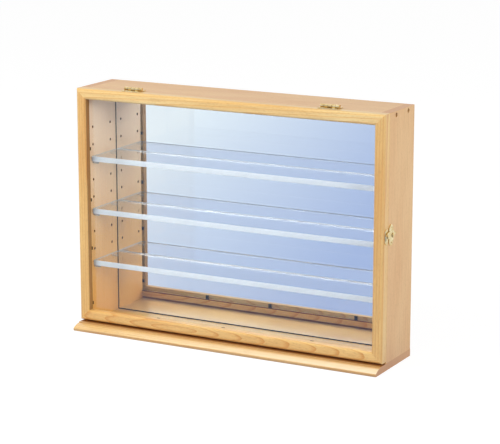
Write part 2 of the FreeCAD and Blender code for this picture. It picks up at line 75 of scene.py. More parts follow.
def colour(name, description, code):
    """A colour that a user may change."""
    return FloatVectorProperty(
        name=name, description=description, subtype="COLOR", size=3, min=0, max=1, default=linear(code))


def length(name, description, size):
    """A length, given in millimetres, that a user may change."""
    return FloatProperty(
        name=name, description=description, unit="LENGTH", precision=5, min=0, default=size * MM)


class CaseColours(bpy.types.PropertyGroup):
    """Colours of the case's materials, and of the light and shade painted onto them."""
    beech_pale: colour("Pale beech", "Early wood of the boards", "ECC184")
    beech_warm: colour("Warm beech", "Late wood of the boards", "DCA264")
    # Also the painted shade on the nose of the base
    beech_dark: colour("Beech flecks", "Ray flecks, pores and the nose of the base", "A8713C")
    beech_end: colour("End grain", "Cut ends of the boards", "CE9258")
    # Painted shade in the peg holes, along the rebate and on the left lip's inner face
    beech_bare_shade: colour("Bare beech", "Dark wood in the peg holes, the rebate and the left lip", "7A4214")
    # Painted light on the left side's inner face: more orange low down, paler and pinker high up
    wall_foot_light: colour("Left side's foot", "Inner face of the left side, low down", "E29A27")
    wall_top_light: colour("Left side's top", "Inner face of the left side, high up", "FFE4CC")
    door_pale: colour("Pale door", "Early wood of the door frame", "F3CB80")
    door_warm: colour("Warm door", "Late wood of the door frame", "DB994A")
    # Painted light: the door's top rail is paler than the other members, as it gets more light from above
    rail_pale_lit: colour("Pale top rail", "Early wood of the door's top rail", "F6D592")
    rail_warm_lit: colour("Warm top rail", "Late wood of the door's top rail", "E6AE5C")
    base_pale: colour("Pale base", "Early wood of the base", "F3CE89")
    base_warm: colour("Warm base", "Late wood of the base", "DDA04E")
    # Painted highlight on the base's sloped front edge
    base_slope_highlight: colour("Base's slope", "Sloped front edge of the base", "FFEBC4")
    # Painted shade on the strip of the base under the door
    base_bare_shade: colour("Bare base", "Strip of the base under the door", "A0672F")
    brass_bright: colour("Bright brass", "Polished brass", "F9E6B4")
    brass_deep: colour("Deep brass", "Brass where the lacquer has darkened", "DDB974")
    silver: colour("Mirror silver", "Silvered glass", "F3F5F8")
    # Painted shade in the gap round the mirror
    seam: colour("Mirror seam", "Dark line round the mirror", "2E2014")
    glass: colour("Pane glass", "Tint of the door's pane", "FDFFFE")
    acrylic: colour("Shelf acrylic", "Tint of the clear shelves", "FBFDFF")
    ground_edge: colour("Ground edge", "Sawn and ground edges of the shelves", "E6EDF8")
    enamel: colour("Clip enamel", "Black enamel of the glazing clips", "1C1B1A")
    steel: colour("Dark steel", "Oiled steel of the wood screws", "2E231B")
    hardboard: colour("Hardboard", "Panel behind the mirror", "9C7850")
    peg: colour("Peg plastic", "Clear plastic of the shelf pegs", "EEF1F0")


class CaseSizes(bpy.types.PropertyGroup):
    """Small sizes that the finish adds to the case."""
    shelf_arris: length("Shelf arris", "Width of the ground arris round a shelf", 0.25)
    shelf_corner: length("Shelf corner", "Radius of a shelf's corners", 1.5)
    ring_spacing: length("Growth rings", "Distance between growth rings", 3.2)
    pane_ease: length("Pane ease", "Gap between the pane and the lip that it lies against", 0.05)
    pane_arris: length("Pane arris", "Width of the ground arris round the pane", 0.3)
    # Width of the painted shade line round the mirror
    seam_width: length("Mirror seam", "Width of the dark line round the mirror", 1.4)
    # Width of the painted shade line round the pane
    rebate_line: length("Rebate line", "Width of the bare edge round the pane", 1.2)
    rivet_shank: length("Rivet shank", "Radius of the catch's rivet", 1.4)
    stud_shank: length("Stud shank", "Radius of the catch's stud", 1.3)
    button_height: length("Button height", "Height of the rivet's and the stud's round heads", 0.9)


class CaseStudio(bpy.types.PropertyGroup):
    """Light, paper and camera of the studio."""
    key_power: FloatProperty(
        name="Key", description="Power of the soft lamp at the left", unit="POWER", default=22)
    key_place: FloatVectorProperty(
        name="Key's place", description="Where the left lamp hangs", unit="LENGTH", size=3,
        default=(-0.8, -1.2, 1.35))
    key_size: FloatProperty(name="Key's size", description="Side of the left lamp", unit="LENGTH", default=0.7)
    fill_power: FloatProperty(
        name="Fill", description="Power of the soft lamp at the right", unit="POWER", default=20.5)
    fill_place: FloatVectorProperty(
        name="Fill's place", description="Where the right lamp hangs", unit="LENGTH", size=3,
        default=(2.0, -0.7, 0.62))
    fill_size: FloatProperty(name="Fill's size", description="Side of the right lamp", unit="LENGTH", default=0.6)
    lamp_aim: FloatVectorProperty(
        name="Aim", description="Point that both lamps are turned to", unit="LENGTH", size=3, default=(0, 0, 0.14))
    room_light: FloatProperty(name="Room", description="Strength of the even light all round", default=0.4)
    paper_reach: FloatProperty(
        name="Paper", description="How far the floor paper reaches each way", unit="LENGTH", default=8)
    # The paper as the mirror shows it is a painted glow in these colours
    paper_near: colour("Near paper", "Floor paper before the case, as the mirror shows it", "A9BBE5")
    paper_far: colour("Far paper", "Floor paper at the far left, as the mirror shows it", "F0F8FF")
    camera_place: FloatVectorProperty(
        name="Camera", description="Where the camera stands", unit="LENGTH", size=3, default=(0.9923, -1.825, 0.6111))
    camera_turn: FloatProperty(
        name="Turn", description="Camera's turn about the upright", unit="ROTATION", default=math.radians(28.17))
    camera_dip: FloatProperty(
        name="Dip", description="Camera's dip below level", unit="ROTATION", default=math.radians(12.84))
    camera_lens: FloatProperty(name="Lens", description="Focal length in millimetres", default=140.15)


def add(tree, kind, sockets=None, **settings):
    """Add a node with its settings, and set or link its inputs."""
    node = tree.nodes.new(f"ShaderNode{kind}")
    for name, value in settings.items():
        setattr(node, name, value)
    for name, value in (sockets or {}).items():
        if isinstance(value, bpy.types.NodeSocket):
            tree.links.new(value, node.inputs[name])
        else:
            node.inputs[name].default_value = value
    return node


def new_material(name):
    """An empty material and its node tree."""
    material = bpy.data.materials.new(name)
    material.use_nodes = True
    material.node_tree.nodes.clear()
    return material, material.node_tree


def millimetres(tree, order=(X, Y, Z), place=(0, 0, 0), turn=(0, 0, 0)):
    """Object coordinates in millimetres, with the axes in a given order."""
    axes = add(tree, "SeparateXYZ", {0: add(tree, "TexCoord").outputs["Object"]})
    sorted_axes = add(tree, "CombineXYZ", {i: axes.outputs[axis] for i, axis in enumerate(order)})
    mapping = add(tree, "Mapping", {
        "Vector": sorted_axes.outputs[0], "Location": place, "Rotation": turn, "Scale": (PER_METRE,) * 3})
    return mapping.outputs[0]


def beech(name, order, pith, lean, pale, warm, coat=(0.2, 0.16), shaded=None, bare=None, tints=()):
    """Planed beech under satin lacquer.

    Growth rings lie round a pith line that leans a little from the grain, so a flat face cuts them in long
    arches. Fibres, ray flecks and a slow change of tone run along the grain, and cut ends are darker.
    order puts the grain first, then across the face, then through the board. pith and lean place the rings.
    coat is the weight and the roughness of the lacquer.
    shaded adds to the node tree a share of painted shade: darker wood where shade falls, also left without lacquer and
    rougher. bare is the colour of this painted shade.
    tints are pairs of such a share and a colour of painted light or shade that is laid over the grain.
    """
    colours, sizes = bpy.context.scene.case_colours, bpy.context.scene.case_sizes
    material, tree = new_material(name)
    board = millimetres(tree, order, pith, (0, lean, 0))

    # Waves of the ring texture repeat every 2 pi / 20 units
    ring_scale = math.tau / 20 / (sizes.ring_spacing * PER_METRE)
    along = add(tree, "VectorMath", {0: board, 1: (0.1, 1, 1)}, operation="MULTIPLY").outputs[0]
    rings = add(tree, "TexWave", {
        "Vector": along, "Scale": ring_scale, "Distortion": 2.2, "Detail": 2, "Detail Scale": 0.9,
    }, wave_type="RINGS", rings_direction="X", wave_profile="SAW").outputs["Fac"]
    line = add(tree, "MapRange", {
        "Value": rings, "From Min": 0.7, "From Max": 1.0, "To Max": 0.75}, interpolation_type="SMOOTHSTEP").outputs[0]
    late_wood = add(tree, "Math", {0: rings, 1: 0.2, 2: line}, operation="MULTIPLY_ADD").outputs[0]

    # Fibres are about 1 mm wide, coarse enough to show, and run on for some 60 mm
    fibre_place = add(tree, "VectorMath", {0: board, 1: (0.016, 1, 1)}, operation="MULTIPLY").outputs[0]
    fibres = add(tree, "TexNoise", {"Vector": fibre_place, "Scale": 0.9, "Detail": 3, "Roughness": 0.6}).outputs[0]
    tone_place = add(tree, "VectorMath", {0: board, 1: (0.2, 1, 1)}, operation="MULTIPLY").outputs[0]
    tone = add(tree, "TexNoise", {"Vector": tone_place, "Scale": 1 / 28, "Detail": 1}).outputs[0]

    # Ray flecks are 1 to 3 mm long, drawn about 4 mm long so that they show
    fleck_place = add(tree, "VectorMath", {0: board, 1: (1 / 5, 1, 1)}, operation="MULTIPLY").outputs[0]
    fleck_cells = add(tree, "TexVoronoi", {"Vector": fleck_place, "Scale": 1}).outputs["Distance"]
    flecks = add(tree, "MapRange", {
        "Value": fleck_cells, "From Min": 0.2, "From Max": 0.36, "To Min": 0.22, "To Max": 0}).outputs[0]

    toned = add(tree, "MapRange", {"Value": tone, "From Min": 0.3, "From Max": 0.7, "To Max": 0.55}).outputs[0]
    ground = add(tree, "Mix", {0: toned, 6: opaque(pale), 7: opaque(warm)}, data_type="RGBA").outputs[2]
    ringed = add(tree, "Mix", {0: late_wood, 6: ground, 7: opaque(warm)}, data_type="RGBA").outputs[2]
    fibre_share = add(tree, "MapRange", {
        "Value": fibres, "From Min": 0.45, "From Max": 0.75, "To Max": 0.28}).outputs[0]
    dark = opaque(colours.beech_dark)
    fibred = add(tree, "Mix", {0: fibre_share, 6: ringed, 7: dark}, data_type="RGBA").outputs[2]
    flecked = add(tree, "Mix", {0: flecks, 6: fibred, 7: dark}, data_type="RGBA").outputs[2]

    # Cut ends face along the grain
    normal = add(tree, "SeparateXYZ", {0: add(tree, "TexCoord").outputs["Normal"]}).outputs[order[0]]
    facing = add(tree, "Math", {0: normal}, operation="ABSOLUTE").outputs[0]
    ends = add(tree, "MapRange", {"Value": facing, "From Min": 0.8, "From Max": 0.95, "To Max": 0.8}).outputs[0]
    ended = add(tree, "Mix", {0: ends, 6: flecked, 7: opaque(colours.beech_end)}, data_type="RGBA").outputs[2]
    # Painted light and shade laid over the grain
    for share, tint in tints:
        ended = add(tree, "Mix", {0: share(tree), 6: ended, 7: opaque(tint)}, data_type="RGBA").outputs[2]

    sheen = add(tree, "MapRange", {"Value": fibres, "To Min": 0.3, "To Max": 0.46}).outputs[0]
    relief = add(tree, "Math", {0: fibre_share, 1: flecks}, operation="ADD").outputs[0]
    bump = add(tree, "Bump", {"Height": relief, "Strength": 0.25, "Distance": 0.1 * MM}, invert=True).outputs[0]
    surface = add(tree, "BsdfPrincipled", {
        "Base Color": ended, "Roughness": sheen, "Normal": bump, "Coat Weight": coat[0], "Coat Roughness": coat[1]})
    if shaded:
        # Painted shade: a darker colour where shade falls, with no lacquer and a rougher surface there
        shade_share = shaded(tree)
        bare_shade_tone = opaque(bare or colours.beech_bare_shade)
        painted_shade = add(tree, "Mix", {0: shade_share, 6: ended, 7: bare_shade_tone}, data_type="RGBA").outputs[2]
        dry = add(tree, "Math", {0: shade_share, 1: ends}, operation="MAXIMUM").outputs[0]
        lacquer = add(tree, "MapRange", {"Value": dry, "To Min": coat[0], "To Max": 0}).outputs[0]
        dull = add(tree, "Mix", {0: shade_share, 2: sheen, 3: 0.8}).outputs[0]
        for socket, value in (("Base Color", painted_shade), ("Coat Weight", lacquer), ("Roughness", dull)):
            tree.links.new(value, surface.inputs[socket])
    add(tree, "OutputMaterial", {"Surface": surface.outputs[0]})
    return material


def band(tree, value, low, high, soft):
    """A share that is 1 where a value lies between two limits, with soft borders."""
    rise = add(tree, "MapRange", {"Value": value, "From Min": low - soft, "From Max": low + soft}).outputs[0]
    fall = add(tree, "MapRange", {
        "Value": value, "From Min": high - soft, "From Max": high + soft, "To Min": 1, "To Max": 0}).outputs[0]
    return add(tree, "Math", {0: rise, 1: fall}, operation="MINIMUM").outputs[0]


def under_door(tree):
    """Painted shade on the strip of the base that the shut door stands over."""
    low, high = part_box("door_bottom_rail")
    place = add(tree, "SeparateXYZ", {0: add(tree, "TexCoord").outputs["Object"]})
    strip = band(tree, place.outputs[Y], low.y, high.y, MM)
    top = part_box("base_board")[1].z
    level = band(tree, place.outputs[Z], top - 0.2 * MM, top + 0.2 * MM, 0.1 * MM)
    return add(tree, "Math", {0: strip, 1: level}, operation="MULTIPLY").outputs[0]


def sloped_edge(tree):
    """A painted highlight on the slope along the front of the base: paler than the flat above it, more so to the right.
    """
    low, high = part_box("base_board")
    normal = add(tree, "SeparateXYZ", {0: add(tree, "TexCoord").outputs["Normal"]})
    slope = band(tree, normal.outputs[Z], 0.75, 0.985, 0.01)
    place = add(tree, "SeparateXYZ", {0: add(tree, "TexCoord").outputs["Object"]}).outputs[X]
    share = add(tree, "MapRange", {
        "Value": place, "From Min": low.x, "From Max": high.x, "To Min": 0.05, "To Max": 0.85}).outputs[0]
    return add(tree, "Math", {0: slope, 1: share}, operation="MULTIPLY").outputs[0]


def nose_edge(tree):
    """Painted shade on the low upright nose below the slope, which is made darker."""
    normal = add(tree, "SeparateXYZ", {0: add(tree, "TexCoord").outputs["Normal"]})
    return add(tree, "MapRange", {
        "Value": normal.outputs[Y], "From Min": -0.6, "From Max": -0.9, "To Max": 0.45}).outputs[0]


def inner_face(tree, start, stop, most):
    """A share of painted light on the left side's inner face, from none at one part of its height to the most at
    another.
    """
    low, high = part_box("left_side")
    height = add(tree, "SeparateXYZ", {0: add(tree, "TexCoord").outputs["Object"]}).outputs[Z]
    tall = high.z - low.z
    share = add(tree, "MapRange", {
        "Value": height, "From Min": low.z + start * tall, "From Max": low.z + stop * tall, "To Max": most}).outputs[0]
    normal = add(tree, "SeparateXYZ", {0: add(tree, "TexCoord").outputs["Normal"]}).outputs[X]
    inner = add(tree, "MapRange", {"Value": normal, "From Min": 0.5, "From Max": 0.8}).outputs[0]
    return add(tree, "Math", {0: share, 1: inner}, operation="MULTIPLY").outputs[0]


def inner_foot(tree):
    """Painted light on the lower half of the left side's inner face, which is made more orange."""
    return inner_face(tree, 0.55, 0.0, 0.6)


def inner_top(tree):
    """Painted light on the upper part of the left side's inner face, which is made paler and pinker."""
    return inner_face(tree, 0.35, 1.0, 0.9)


def peg_bores(tree):
    """Painted shade in the peg holes: their insides, which lie behind the inner face of a side board and away from its
    edges.
    """
    low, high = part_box("right_side")
    place = add(tree, "SeparateXYZ", {0: add(tree, "TexCoord").outputs["Object"]})
    off = add(tree, "Math", {0: place.outputs[X]}, operation="ABSOLUTE").outputs[0]
    # The holes keep this far from the outer face and the mirror, the front edge, the foot and the top of the board
    skin, front, foot, top = 2 * MM, 4 * MM, 16 * MM, 12 * MM
    deep = band(tree, off, low.x + 0.3 * MM, high.x - skin, 0.1 * MM)
    inner = band(tree, place.outputs[Y], low.y + front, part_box("mirror")[0].y - skin, 0.2 * MM)
    level = band(tree, place.outputs[Z], low.z + foot, high.z - top, 0.2 * MM)
    drilled = add(tree, "Math", {0: inner, 1: level}, operation="MULTIPLY").outputs[0]
    return add(tree, "Math", {0: deep, 1: drilled}, operation="MULTIPLY").outputs[0]


def rebate_line(tree):
    """Painted shade on the bare wall of the rebate behind the pane with its sharp edge, and on the inner face of the
    left lip.
    """
    sizes = bpy.context.scene.case_sizes
    low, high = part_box("door_pane")
    place = add(tree, "SeparateXYZ", {0: add(tree, "TexCoord").outputs["Object"]})
    out = []
    for axis in (X, Z):
        off = add(tree, "Math", {0: place.outputs[axis], 1: (low[axis] + high[axis]) / 2}, operation="SUBTRACT")
        size = add(tree, "Math", {0: off.outputs[0]}, operation="ABSOLUTE").outputs[0]
        out.append(add(tree, "Math", {0: size, 1: (high[axis] - low[axis]) / 2}, operation="SUBTRACT").outputs[0])
    away = add(tree, "Math", {0: out[0], 1: out[1]}, operation="MAXIMUM").outputs[0]
    line = band(tree, away, 0.1 * MM, 0.1 * MM + sizes.rebate_line, 0.1 * MM)
    behind = add(tree, "MapRange", {
        "Value": place.outputs[Y], "From Min": high.y - 0.3 * MM, "From Max": high.y}).outputs[0]
    edge = add(tree, "Math", {0: line, 1: behind}, operation="MULTIPLY").outputs[0]
    # Painted shade on the left lip's inner face, which faces away from the light and is made darker than the front
    facing = add(tree, "SeparateXYZ", {0: add(tree, "TexCoord").outputs["Normal"]}).outputs[X]
    inward = add(tree, "MapRange", {"Value": facing, "From Min": 0.88, "From Max": 0.98, "To Max": 0.65}).outputs[0]
    left = add(tree, "Math", {0: place.outputs[X], 1: 0}, operation="LESS_THAN").outputs[0]
    lip = add(tree, "Math", {0: inward, 1: left}, operation="MULTIPLY").outputs[0]
    return add(tree, "Math", {0: edge, 1: lip}, operation="MAXIMUM").outputs[0]


def speckled(name, first, second, grain, rough, sockets=None):
    """A material that wanders between two colours, and between two roughnesses, in patches grain mm wide.

    sockets holds further values of the shader, under the names of its sockets.
    """
    material, tree = new_material(name)
    patches = add(tree, "TexNoise", {
        "Vector": millimetres(tree), "Scale": 1 / grain, "Detail": 4, "Roughness": 0.6}).outputs[0]
    share = add(tree, "MapRange", {"Value": patches, "From Min": 0.35, "From Max": 0.65}).outputs[0]
    tint = add(tree, "Mix", {0: share, 6: opaque(first), 7: opaque(second)}, data_type="RGBA").outputs[2]
    roughness = add(tree, "MapRange", {"Value": patches, "To Min": rough[0], "To Max": rough[1]}).outputs[0]
    bump = add(tree, "Bump", {"Height": patches, "Strength": 0.1, "Distance": 0.05 * MM}).outputs[0]
    surface = add(tree, "BsdfPrincipled", {
        "Base Color": tint, "Roughness": roughness, "Normal": bump, **(sockets or {})})
    add(tree, "OutputMaterial", {"Surface": surface.outputs[0]})
    return material


def brass():
    """Polished brass under clear lacquer: bright, with darker patches some millimetres wide."""
    colours = bpy.context.scene.case_colours
    name = "polished_brass"
    made = bpy.data.materials.get(name)
    return made or speckled(
        name, colours.brass_bright, colours.brass_deep, grain=5, rough=(0.18, 0.34), sockets={"Metallic": 1.0})


def clear(name, tint, ior, haze, passes):
    """Clear glass or acrylic, faintly hazed where it was wiped, that lets a share of the lamps' light pass."""
    material, tree = new_material(name)
    wiped = add(tree, "TexNoise", {
        "Vector": millimetres(tree), "Scale": 1 / 40, "Detail": 2, "Distortion": 1.5}).outputs[0]
    roughness = add(tree, "MapRange", {
        "Value": wiped, "From Min": 0.4, "From Max": 0.8, "To Max": haze}).outputs[0]
    surface = add(tree, "BsdfPrincipled", {
        "Base Color": opaque(tint), "Roughness": roughness, "IOR": ior, "Transmission Weight": 1.0})
    passing = add(tree, "BsdfTransparent", {"Color": opaque([passes * c for c in tint])})
    to_lamp = add(tree, "LightPath").outputs["Is Shadow Ray"]
    both = add(tree, "MixShader", {0: to_lamp, 1: surface.outputs[0], 2: passing.outputs[0]})
    add(tree, "OutputMaterial", {"Surface": both.outputs[0]})
    return material


def silvered_glass():
    """A mirror: bright silver behind clean glass, with a line of painted shade where it meets the boards."""
    colours, sizes = bpy.context.scene.case_colours, bpy.context.scene.case_sizes
    material, tree = new_material("silvered_mirror_glass")
    place = add(tree, "SeparateXYZ", {0: add(tree, "TexCoord").outputs["Object"]})
    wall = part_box("right_side")[0].x
    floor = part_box("base_board")[1].z
    off = add(tree, "Math", {0: place.outputs[X]}, operation="ABSOLUTE").outputs[0]
    from_wall = add(tree, "Math", {0: wall, 1: off}, operation="SUBTRACT").outputs[0]
    from_floor = add(tree, "Math", {0: place.outputs[Z], 1: floor}, operation="SUBTRACT").outputs[0]
    nearest = add(tree, "Math", {0: from_wall, 1: from_floor}, operation="MINIMUM").outputs[0]
    # Painted shade: dark and rough near the walls and the floor
    seam = add(tree, "MapRange", {
        "Value": nearest, "From Min": sizes.seam_width * 0.9, "From Max": sizes.seam_width, "To Min": 1, "To Max": 0,
    }).outputs[0]
    tint = add(tree, "Mix", {0: seam, 6: opaque(colours.silver), 7: opaque(colours.seam)}, data_type="RGBA").outputs[2]
    wiped = add(tree, "TexNoise", {"Vector": millimetres(tree), "Scale": 1 / 60, "Detail": 2}).outputs[0]
    clean = add(tree, "MapRange", {"Value": wiped, "From Min": 0.4, "From Max": 0.8, "To Max": 0.02}).outputs[0]
    roughness = add(tree, "Math", {0: clean, 1: seam}, operation="MAXIMUM").outputs[0]
    surface = add(tree, "BsdfPrincipled", {"Base Color": tint, "Roughness": roughness, "Metallic": 1.0})
    add(tree, "OutputMaterial", {"Surface": surface.outputs[0]})
    return material


def finish_nodes(material, *names):
    """Give CAD nodes a material."""
    for name in names:
        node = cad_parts[name]
        if not node.material_slots:
            node.data.materials.append(material)
        for slot in node.material_slots:
            slot.material = material


def new_piece(name, vertices, faces, materials, body, replaced, faces_in_second=0, smooth=False):
    """Make a mesh piece that stands for CAD nodes and rides on a body.

    The last faces_in_second faces take the second material.
    """
    mesh = bpy.data.meshes.new(name)
    mesh.from_pydata(vertices.tolist(), [], faces)
    for material in materials:
        mesh.materials.append(material)
    index = np.zeros(len(faces), np.int32)
    index[len(faces) - faces_in_second:] = 1
    mesh.polygons.foreach_set("material_index", index)
    mesh.polygons.foreach_set("use_smooth", np.full(len(faces), smooth))
    if smooth:
        mesh.set_sharp_from_angle(angle=SHARP_ANGLE)
    mesh.update()
    piece = bpy.data.objects.new(name, mesh)
    bpy.context.scene.collection.objects.link(piece)
    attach(piece, body)
    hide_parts(*replaced)
    return piece


def ring_faces(rings, count):
    """Quads between neighbouring closed rings of count points each."""
    ring = np.arange(rings - 1)[:, None] * count
    here = np.arange(count)
    after = (here + 1) % count
    quads = np.stack([ring + here, ring + after, ring + count + after, ring + count + here], axis=-1)
    return quads.reshape(-1, 4)


def rounded_plate(low, high, through, corner, arris, steps=6):
    """A flat plate between two corners of a box, as vertices and faces.

    A rectangle with rounded corners is carried through the plate's thickness, on the axis through. It is drawn in
    by the arris at both faces. The two flat faces come first, then the edges.
    """
    across, up = (through + 1) % 3, (through + 2) % 3
    low, high = np.array(low), np.array(high)
    middle, half = (low + high) / 2, (high - low) / 2
    angle = (np.arange(4)[:, None] + np.linspace(0, 1, steps)) * math.pi / 2
    sign = np.sign(np.cos(angle.mean(axis=1))), np.sign(np.sin(angle.mean(axis=1)))
    inset = np.array([arris, 0, 0, arris])[:, None, None]
    level = np.array([low[through], low[through] + arris, high[through] - arris, high[through]])
    vertices = np.empty((4, 4, steps, 3))
    for axis, side, wave in ((across, sign[0], np.cos(angle)), (up, sign[1], np.sin(angle))):
        vertices[..., axis] = middle[axis] + side[:, None] * (half[axis] - corner) + (corner - inset) * wave
    vertices[..., through] = level[:, None, None]
    count = 4 * steps
    caps = [np.arange(count)[::-1].tolist(), (np.arange(count) + 3 * count).tolist()]
    return vertices.reshape(-1, 3), caps + ring_faces(4, count).tolist()


def copies(shapes, quads, caps):
    """Like meshes joined into one: arrays of vertices that share the same quads and the same caps."""
    first = len(shapes[0]) * np.arange(len(shapes))[:, None, None]
    faces = (first + quads).reshape(-1, 4).tolist() + (first + caps).reshape(-1, caps.shape[-1]).tolist()
    return np.concatenate(shapes), faces


def facing_matrix(axis, sign):
    """Rows that carry local x, y and z to a frame whose z points along an axis."""
    rows = np.zeros((3, 3))
    rows[0, (axis + 1) % 3] = sign
    rows[1, (axis + 2) % 3] = 1
    rows[2, axis] = sign
    return rows


def cross_screw(head, shank, deep):
    """A countersunk screw with a cross recess, its head's rim at z = 0, as vertices, quads and the cap of its point.

    The head is a square grid drawn onto a disc: x = u sqrt(1 - v^2 / 2) and y = v sqrt(1 - u^2 / 2). Its height
    is a low crown, less a cross whose arms shelve up from the middle. Below the rim, circles of the disc's edge
    points are carried down the cone and the shank to a point.
    """
    # Shares of the head's radius: the cross's arms, then the crown and the recess, then the rim
    arm, wall, reach = 0.13, 0.04, 0.62
    crown, depth, shelving = 0.16, 0.5, 0.3
    rim_drop = 0.06
    point = 0.3 * shank
    edge = np.array([arm, arm + wall, 0.36, 0.5, reach, reach + wall, 0.84, 1.0])
    line = np.concatenate([-edge[::-1], [0], edge])
    u, v = np.meshgrid(line, line)
    x, y = u * np.sqrt(1 - v * v / 2), v * np.sqrt(1 - u * u / 2)
    radius = np.hypot(x, y)
    in_arm = (np.minimum(abs(u), abs(v)) <= arm + wall / 2) & (np.maximum(abs(u), abs(v)) <= reach)
    recess = np.where(in_arm, depth - shelving * np.maximum(abs(u), abs(v)) / reach, 0)
    grid = np.stack([x * head, y * head, (crown * (1 - radius ** 2) - recess) * head], axis=-1).reshape(-1, 3)

    many = len(line)
    index = np.arange(many * many).reshape(many, many)
    top = np.stack([index[:-1, :-1], index[:-1, 1:], index[1:, 1:], index[1:, :-1]], axis=-1).reshape(-1, 4)
    rim = np.concatenate([index[0, :-1], index[:-1, -1], index[-1, :0:-1], index[:0:-1, 0]])
    turn = np.arctan2(grid[rim, Y], grid[rim, X])
    cone = head - shank
    profile = np.array([(head, -rim_drop * head), (shank, -cone), (shank, shank - deep), (point, -deep)])
    rings = np.stack([
        profile[:, :1] * np.cos(turn), profile[:, :1] * np.sin(turn), np.repeat(profile[:, 1:], len(turn), axis=1),
    ], axis=-1).reshape(-1, 3)
    first = many * many
    count = len(rim)
    here, after = np.arange(count), (np.arange(count) + 1) % count
    skirt = np.stack([rim[after], rim[here], first + here, first + after], axis=-1)
    sides = ring_faces(len(profile), count)[:, ::-1] + first
    tip = first + (len(profile) - 1) * count + np.arange(count)[::-1]
    return np.concatenate([grid, rings]), np.concatenate([top, skirt, sides]), tip[None]


def turned(profile, steps=40):
    """A turned piece: (radius, height) points carried round the z axis, closed at both ends, as vertices and faces."""
    profile = np.array(profile)
    turn = np.linspace(0, math.tau, steps, endpoint=False)
    vertices = np.stack([
        profile[:, :1] * np.cos(turn), profile[:, :1] * np.sin(turn), np.repeat(profile[:, 1:], steps, axis=1),
    ], axis=-1).reshape(-1, 3)
    last = (len(profile) - 1) * steps
    caps = [np.arange(steps)[::-1].tolist(), (last + np.arange(steps)).tolist()]
    return vertices, caps + ring_faces(len(profile), steps).tolist()


def groups_along(node, axis, split):
    """Middles of a node's separate solids along one axis, told apart by gaps wider than split."""
    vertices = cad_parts[node].data.vertices
    places = np.empty(len(vertices) * 3, np.float32)
    vertices.foreach_get("co", places)
    values = np.unique(places.reshape(-1, 3)[:, axis])
    parts = np.split(values, np.where(np.diff(values) > split)[0] + 1)
    return [(part[0] + part[-1]) / 2 for part in parts]


def solid_middles(node, axis, ends, split=3.5 * MM):
    """Places of a node's like solids: their middles across an axis, at the given ends along it."""
    choices = [groups_along(node, k, split) for k in range(3)]
    choices[axis] = ends
    return np.array(np.meshgrid(*choices)).reshape(3, -1).T


class DISPLAY_CASE_OT_boards(bpy.types.Operator):
    """Finish the base, the sides, the top and the backing panel"""
    bl_idname = "display_case.boards"
    bl_label = "Boards"

    def execute(self, context):
        colours = context.scene.case_colours
        pale, warm = colours.beech_pale, colours.beech_warm
        top = beech(
            "satin_beech_top", order=(X, Y, Z), pith=(40, 150, -250), lean=0.02, pale=pale, warm=warm, coat=(0, 0.3))
        finish_nodes(top, "top_board")
        # The left side's inner face gets painted light: more orange at the foot, paler and pinker at the top
        left_tints = (inner_foot, colours.wall_foot_light), (inner_top, colours.wall_top_light)
        for side, pith, tints in (("left", 170, left_tints), ("right", -170, ())):
            board = beech(
                f"satin_beech_{side}", order=(Z, Y, X), pith=(0, 140, pith), lean=0.02, pale=pale, warm=warm,
                coat=(0.05, 0.3), shaded=peg_bores, tints=tints)
            finish_nodes(board, f"{side}_side")
        # The base gets painted shade under the door and on its nose, and a painted highlight on its slope
        base = beech(
            "satin_beech_base", order=(X, Y, Z), pith=(15, 130, 22), lean=0.03, pale=colours.base_pale,
            warm=colours.base_warm, coat=(0.9, 0.1), shaded=under_door, bare=colours.base_bare_shade,
            tints=((sloped_edge, colours.base_slope_highlight), (nose_edge, colours.beech_dark)))
        finish_nodes(base, "base_board")
        # Hardboard pressed from wood fibre: matt brown with fine specks
        panel = speckled("pressed_hardboard", colours.hardboard, colours.beech_end, grain=1.2, rough=(0.55, 0.8))
        finish_nodes(panel, "back_panel")
        return {"FINISHED"}


class DISPLAY_CASE_OT_door(bpy.types.Operator):
    """Finish the four mitred members of the door"""
    bl_idname = "display_case.door"
    bl_label = "Door frame"

    def execute(self, context):
        colours = context.scene.case_colours
        pale, warm = colours.door_pale, colours.door_warm
        # Each member gets painted shade along the rebate round the pane, and the left stile also on its lip's inner
        # face
        bottom = beech(
            "satin_beech_bottom_rail", order=(X, Z, Y), pith=(0, -16, 38), lean=-0.11, pale=pale, warm=warm,
            shaded=rebate_line)
        finish_nodes(bottom, "door_bottom_rail")
        # The top rail's paler tones are painted light from above
        top = beech(
            "satin_beech_top_rail", order=(X, Z, Y), pith=(60, -240, 60), lean=0.04, pale=colours.rail_pale_lit,
            warm=colours.rail_warm_lit, shaded=rebate_line)
        finish_nodes(top, "door_top_rail")
        stile = beech(
            "satin_beech_stile", order=(Z, X, Y), pith=(30, 20, 70), lean=0.04, pale=pale, warm=warm,
            shaded=rebate_line)
        finish_nodes(stile, "door_left_stile", "door_right_stile")
        return {"FINISHED"}


class DISPLAY_CASE_OT_mirror(bpy.types.Operator):
    """Silver the mirror"""
    bl_idname = "display_case.mirror"
    bl_label = "Mirror"

    def execute(self, context):
        finish_nodes(silvered_glass(), "mirror")
        return {"FINISHED"}


class DISPLAY_CASE_OT_glazing(bpy.types.Operator):
    """Glaze the door and finish the clips that hold its pane"""
    bl_idname = "display_case.glazing"
    bl_label = "Pane and clips"

    def execute(self, context):
        colours, sizes = context.scene.case_colours, context.scene.case_sizes
        low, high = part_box("door_pane")
        ease = Vector((0, sizes.pane_ease, 0))
        arris = sizes.pane_arris
        vertices, faces = rounded_plate(low + ease, high, through=Y, corner=2 * arris, arris=arris)
        glass = clear("float_glass", colours.glass, GLASS_IOR, haze=0.02, passes=1.0)
        new_piece("door_pane_glass", vertices, faces, [glass], body="door", replaced=["door_pane"])
        # Enamel stoved on steel: black with a dull gloss
        enamel = speckled(
            "black_enamel", colours.enamel, colours.steel, grain=3, rough=(0.4, 0.6),
            sockets={"Specular IOR Level": 0.2})
        finish_nodes(enamel, "glazing_clips")
        return {"FINISHED"}


